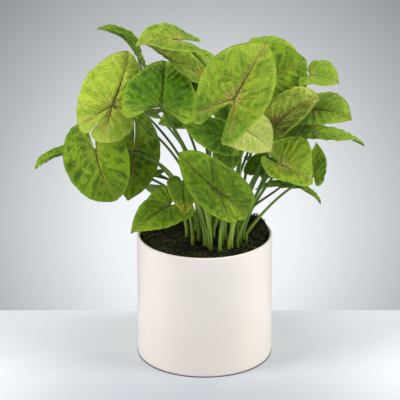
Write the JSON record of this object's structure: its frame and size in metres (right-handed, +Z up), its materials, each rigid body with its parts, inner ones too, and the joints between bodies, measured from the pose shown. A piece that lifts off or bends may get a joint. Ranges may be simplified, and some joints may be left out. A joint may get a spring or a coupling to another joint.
{
  "type": "potted syngonium",
  "caption": "Leafy potted arrowhead plant: a glazed straight cylinder pot of soil, with arching stalks that stand in it and carry broad notched leaves.",
  "frame": {"origin": "centre of the pot's flat underside, on the surface it stands on", "axes": "+Z up along the pot's axis; the side seen in the picture faces -Y, and +X is to the right in it"},
  "size_m": [0.3719, 0.255, 0.3811],
  "materials": {
    "pot_glaze": "satin cream glaze",
    "soil": "damp potting soil with moss",
    "leaf_green": "waxy living leaf"
  },
  "bodies": {
    "root": {"pot": "pot_glaze", "soil": "soil", "leaf_01": "leaf_green", "leaf_02": "leaf_green", "leaf_03": "leaf_green", "leaf_04": "leaf_green", "leaf_05": "leaf_green", "leaf_06": "leaf_green", "leaf_07": "leaf_green", "leaf_08": "leaf_green", "leaf_09": "leaf_green", "leaf_10": "leaf_green", "leaf_11": "leaf_green", "leaf_12": "leaf_green", "leaf_13": "leaf_green", "leaf_14": "leaf_green", "leaf_15": "leaf_green", "leaf_16": "leaf_green", "leaf_17": "leaf_green", "leaf_18": "leaf_green", "leaf_19": "leaf_green", "leaf_20": "leaf_green", "leaf_21": "leaf_green", "leaf_22": "leaf_green", "leaf_23": "leaf_green", "leaf_24": "leaf_green", "leaf_25": "leaf_green", "leaf_26": "leaf_green", "leaf_27": "leaf_green", "leaf_28": "leaf_green", "leaf_29": "leaf_green", "leaf_30": "leaf_green", "leaf_31": "leaf_green", "leaf_32": "leaf_green", "leaf_33": "leaf_green", "leaf_34": "leaf_green", "leaf_35": "leaf_green", "leaf_36": "leaf_green", "leaf_37": "leaf_green", "leaf_38": "leaf_green", "leaf_39": "leaf_green", "leaf_40": "leaf_green", "leaf_41": "leaf_green"}
  },
  "joints": []
}
